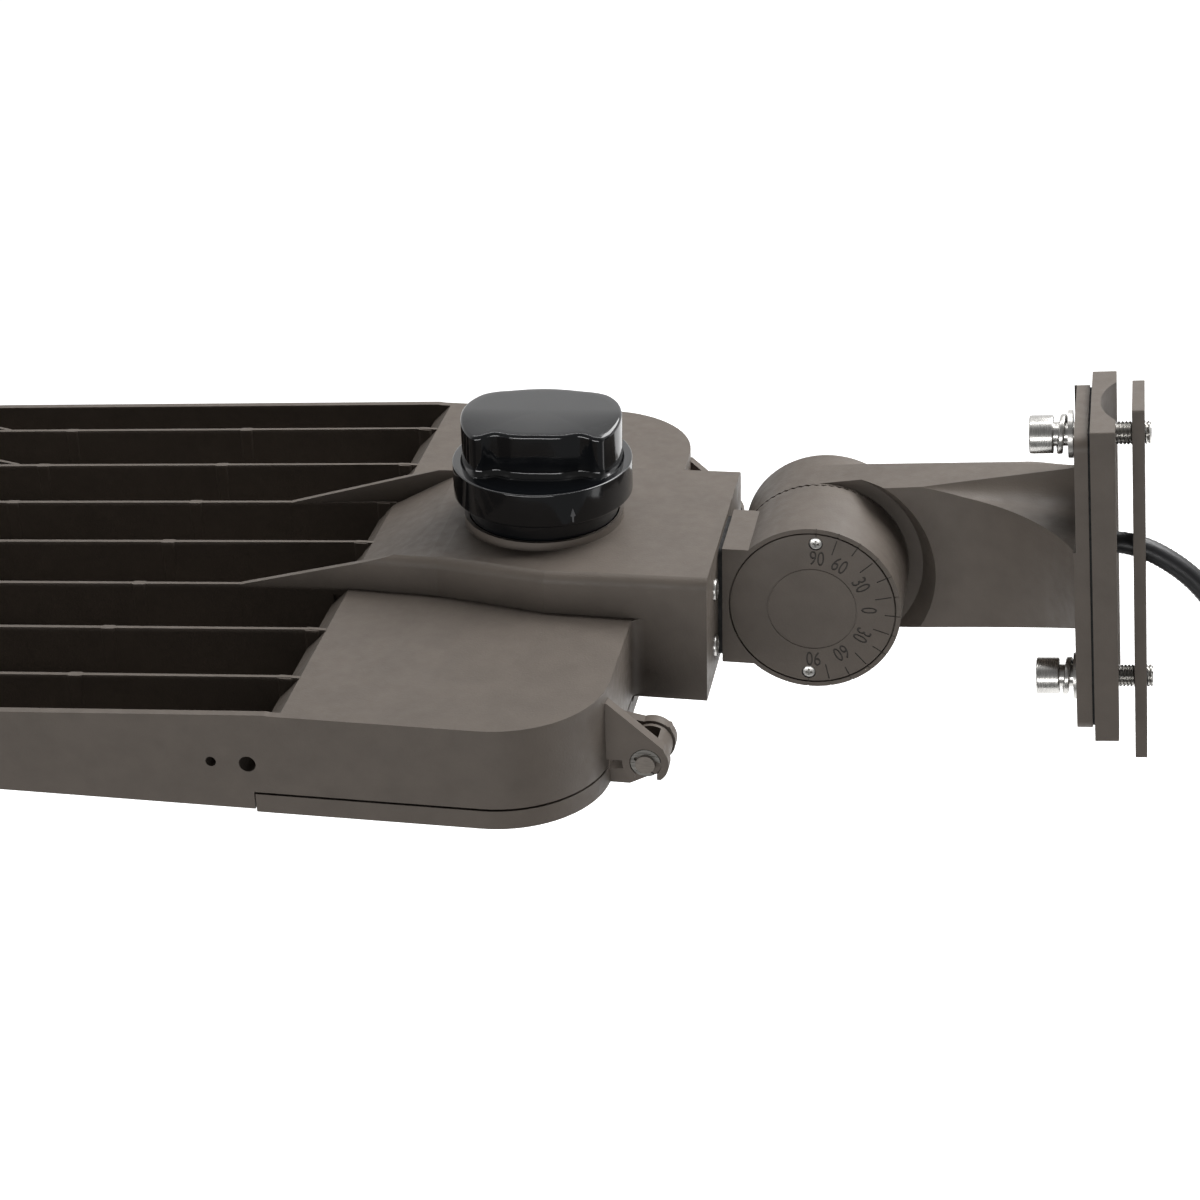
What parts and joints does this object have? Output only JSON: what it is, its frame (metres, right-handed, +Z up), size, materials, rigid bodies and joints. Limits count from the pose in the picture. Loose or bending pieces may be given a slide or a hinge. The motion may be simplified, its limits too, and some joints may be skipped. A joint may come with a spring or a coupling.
{
  "type": "shoebox area light",
  "caption": "Flat rectangular outdoor area light on a short arm with a toothed tilt knuckle, a twist-lock cap on top, a hinged driver door and a two-screw pole plate.",
  "frame": {"origin": "middle of the pole plate's pole side, halfway between the two pole screws", "axes": "+X from the light towards the pole, +Z up along the pole, +Y to the side"},
  "size_m": [0.7641, 0.31, 0.2811],
  "materials": {
    "bronze_paint": "dark bronze textured powder coat",
    "steel": "plain stainless steel",
    "dark_steel": "dark plated steel",
    "gloss_black": "glossy black moulded plastic",
    "black_rubber": "matt black rubber",
    "cable_jacket": "black cable jacket with fine ribs",
    "black_nylon": "matt black nylon",
    "lead_insulation": "black wire insulation",
    "brass_contact": "plain brass",
    "white_board": "white solder mask",
    "grey_silicone": "light grey silicone",
    "clear_lens": "clear moulded lens",
    "driver_case": "plain aluminium case",
    "blue_case": "blue plastic case",
    "white_plastic": "off-white plastic"
  },
  "bodies": {
    "arm": {"arm_casting": "bronze_paint", "flange_gasket": "black_rubber", "pole_plate": "bronze_paint", "backing_plate": "bronze_paint", "pole_screws": "steel", "spring_washers": "steel", "flat_washers": "steel", "cord_grommet": "black_rubber", "supply_cord": "cable_jacket", "cord_coil": "cable_jacket", "coil_tie": "black_nylon", "cord_leads": "lead_insulation", "pivot_bolt": "steel", "pivot_washer": "steel", "pivot_nut": "steel"},
    "head": {"housing": "bronze_paint", "knuckle_bracket": "bronze_paint", "bracket_gasket": "black_rubber", "bracket_screws": "steel", "dial_cover": "bronze_paint", "dial_screws": "steel", "receptacle": "black_nylon", "receptacle_contacts": "brass_contact", "led_boards": "white_board", "lens_gaskets": "grey_silicone", "lens_plates": "clear_lens", "lens_screws": "steel", "led_driver": "driver_case", "driver_screws": "steel", "surge_protector": "blue_case", "terminal_block": "white_plastic", "bay_wires": "lead_insulation", "hinge_pins": "dark_steel", "hinge_clips": "steel"},
    "door": {"driver_door": "bronze_paint", "door_gasket": "black_rubber", "door_screws": "steel"},
    "cap": {"shorting_cap": "gloss_black", "cap_gasket": "black_rubber", "cap_blades": "brass_contact"}
  },
  "joints": [
    {"name": "head_tilt", "type": "hinge", "parent": "arm", "child": "head", "pos_m": [-0.1285, 0, -0.0125], "axis": [0, 1, 0], "range_deg": [-94.3, 85.7]},
    {"name": "door_hinge", "type": "hinge", "parent": "head", "child": "door", "pos_m": [-0.18715, 0, -0.03236], "axis": [0, -1, 0], "range_deg": [0, 65]},
    {"name": "cap_twist", "type": "hinge", "parent": "head", "child": "cap", "pos_m": [-0.24836, 0, -0.00349], "axis": [0.075, 0, 0.9972], "range_deg": [0, 20]}
  ]
}
